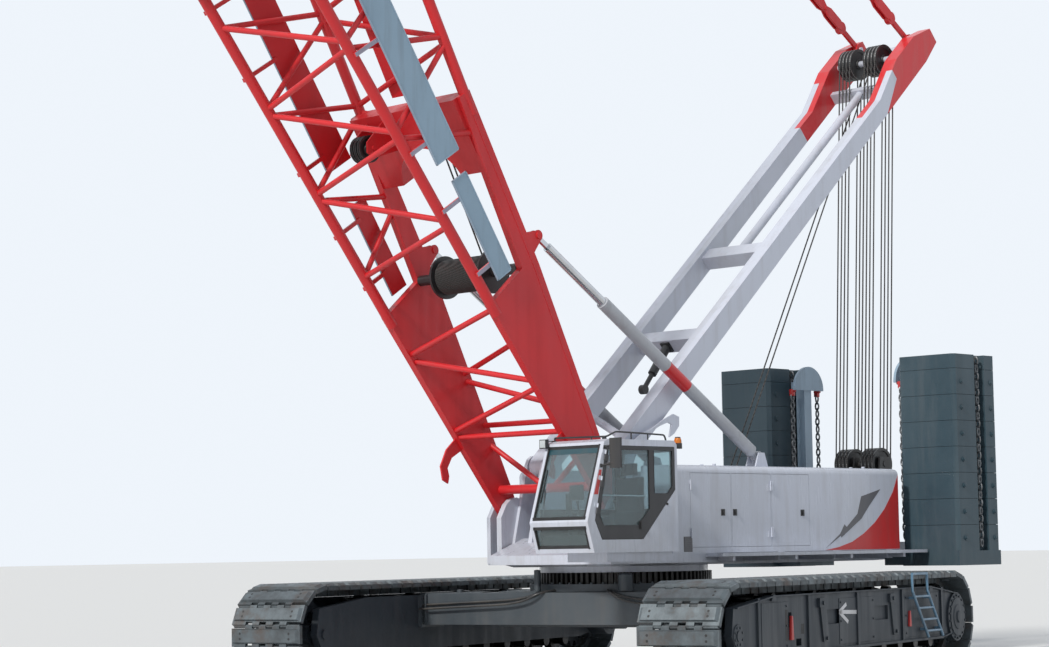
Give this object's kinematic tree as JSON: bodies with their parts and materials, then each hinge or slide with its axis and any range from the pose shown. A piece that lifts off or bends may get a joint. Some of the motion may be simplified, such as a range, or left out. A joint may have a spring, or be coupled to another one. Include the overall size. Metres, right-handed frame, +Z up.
{
  "type": "crawler crane",
  "caption": "Crawler crane with a lattice boom held by pendants from a raised mast, a slewing house with counterweight stacks, a cab and two wide tracks.",
  "frame": {"origin": "on the ground, at the middle of the bounding box seen from above", "axes": "+X the way the boom points, +Y the driver's left, +Z up; the tracks stand turned 15 degrees about +Z under the superstructure, as in the picture"},
  "size_m": [24.6537, 10.0612, 25.1412],
  "materials": {
    "red_paint": "gloss",
    "white_paint": "gloss",
    "grey_paint": "satin",
    "slab_paint": "matte",
    "pale_blue_paint": "satin",
    "shoe_steel": "worn",
    "dark_steel": "satin",
    "bright_rod": "brushed",
    "pane": "clear",
    "seat_cover": "woven"
  },
  "bodies": {
    "undercarriage": {"carbody": "grey_paint", "slewing_ring": "dark_steel", "left_track_frame": "grey_paint", "right_track_frame": "grey_paint", "left_track": "shoe_steel", "right_track": "shoe_steel", "left_rollers": "dark_steel", "right_rollers": "dark_steel", "left_idler": "grey_paint", "right_idler": "grey_paint", "left_sprocket": "grey_paint", "right_sprocket": "grey_paint", "track_steps": "pale_blue_paint"},
    "superstructure": {"slewing_platform": "white_paint", "left_house": "white_paint", "right_house": "white_paint", "engine": "dark_steel", "winches": "dark_steel", "counterweight_tray": "slab_paint", "left_counterweight": "slab_paint", "right_counterweight": "slab_paint", "weight_lifters": "pale_blue_paint", "walkways": "grey_paint", "cab_shell": "white_paint", "cab_windows": "pane", "cab_seat": "seat_cover", "cab_fittings": "dark_steel"},
    "cab_door": {"cab_door": "grey_paint", "cab_door_glass": "pane"},
    "house_door_front": {"house_door_front": "white_paint"},
    "house_door_middle": {"house_door_middle": "white_paint"},
    "house_door_rear": {"house_door_rear": "white_paint"},
    "mast": {"mast_legs": "white_paint", "mast_helper_cylinder": "dark_steel"},
    "mast_sheaves": {"mast_head_sheaves": "dark_steel"},
    "luffing_block": {"luffing_sheaves": "dark_steel"},
    "backstop_tubes": {"backstop_tubes": "white_paint"},
    "backstop_rods": {"backstop_rods": "bright_rod"},
    "boom": {"boom_foot": "red_paint", "boom_winch": "dark_steel", "boom_insert": "red_paint", "boom_head": "red_paint", "boom_head_sheaves": "dark_steel", "boom_boards": "pale_blue_paint", "boom_walk": "bright_rod"},
    "pendants": {"boom_pendants": "red_paint"},
    "hook_block": {"hook_block": "red_paint"},
    "hook": {"hook": "red_paint"}
  },
  "joints": [
    {"name": "slew", "type": "hinge", "parent": "undercarriage", "child": "superstructure", "pos_m": [-4.78759, 0, 1.66], "axis": [0, 0, 1], "continuous": true},
    {"name": "boom_luff", "type": "hinge", "parent": "superstructure", "child": "boom", "pos_m": [-3.41159, 0, 2.511], "axis": [0, -1, 0], "range_deg": [-26.7, 23.3]},
    {"name": "mast_swing", "type": "hinge", "parent": "superstructure", "child": "mast", "pos_m": [-3.78759, 0, 3.2], "axis": [0, -1, 0], "range_deg": [-29.1, 25.45]},
    {"name": "pendant_swing", "type": "hinge", "parent": "mast", "child": "pendants", "pos_m": [-11.89574, 0, 10.78488], "axis": [0, -1, 0], "range_deg": [-1.96, 2.17]},
    {"name": "mast_sheave_turn", "type": "hinge", "parent": "mast", "child": "mast_sheaves", "pos_m": [-11.38531, 0, 10.39557], "axis": [0, -1, 0], "continuous": true},
    {"name": "luffing_block_turn", "type": "hinge", "parent": "superstructure", "child": "luffing_block", "pos_m": [-10.96759, 0, 3.3], "axis": [0, -1, 0], "continuous": true},
    {"name": "backstop_swing", "type": "hinge", "parent": "superstructure", "child": "backstop_tubes", "pos_m": [-6.73759, 0, 3.33], "axis": [0, -1, 0], "range_deg": [-16.39, 14.36]},
    {"name": "backstop_slide", "type": "slide", "parent": "backstop_tubes", "child": "backstop_rods", "axis": [0.8427, 0, 0.5384], "range_m": [-0.9882, 1.1317]},
    {"name": "hook_falls_swing", "type": "hinge", "parent": "boom", "child": "hook_block", "pos_m": [11.93268, 0, 24.37686], "axis": [0, -1, 0], "range_deg": [-23.8, 27.2]},
    {"name": "hook_swivel", "type": "hinge", "parent": "hook_block", "child": "hook", "pos_m": [11.93268, 0, 17.43686], "axis": [0, 0, 1], "continuous": true},
    {"name": "cab_door_hinge", "type": "hinge", "parent": "superstructure", "child": "cab_door", "pos_m": [-1.60759, 2.413, 2.32], "axis": [0.2392, 0, -0.971], "range_deg": [0, 85]},
    {"name": "house_door_front_hinge", "type": "hinge", "parent": "superstructure", "child": "house_door_front", "pos_m": [-4.56259, 1.607, 2.48], "axis": [0, 0, -1], "range_deg": [0, 85]},
    {"name": "house_door_middle_hinge", "type": "hinge", "parent": "superstructure", "child": "house_door_middle", "pos_m": [-6.45259, 1.607, 2.48], "axis": [0, 0, 1], "range_deg": [0, 85]},
    {"name": "house_door_rear_hinge", "type": "hinge", "parent": "superstructure", "child": "house_door_rear", "pos_m": [-6.48259, 1.607, 2.48], "axis": [0, 0, -1], "range_deg": [0, 85]}
  ],
  "couplings": [
    {"joint": "mast_swing", "follows": "boom_luff", "ratio": 1.071},
    {"joint": "pendant_swing", "follows": "boom_luff", "ratio": -0.0626},
    {"joint": "backstop_swing", "follows": "boom_luff", "ratio": 0.595},
    {"joint": "backstop_slide", "follows": "boom_luff", "m_per_rad": -2.4178},
    {"joint": "hook_falls_swing", "follows": "boom_luff", "ratio": -1}
  ]
}
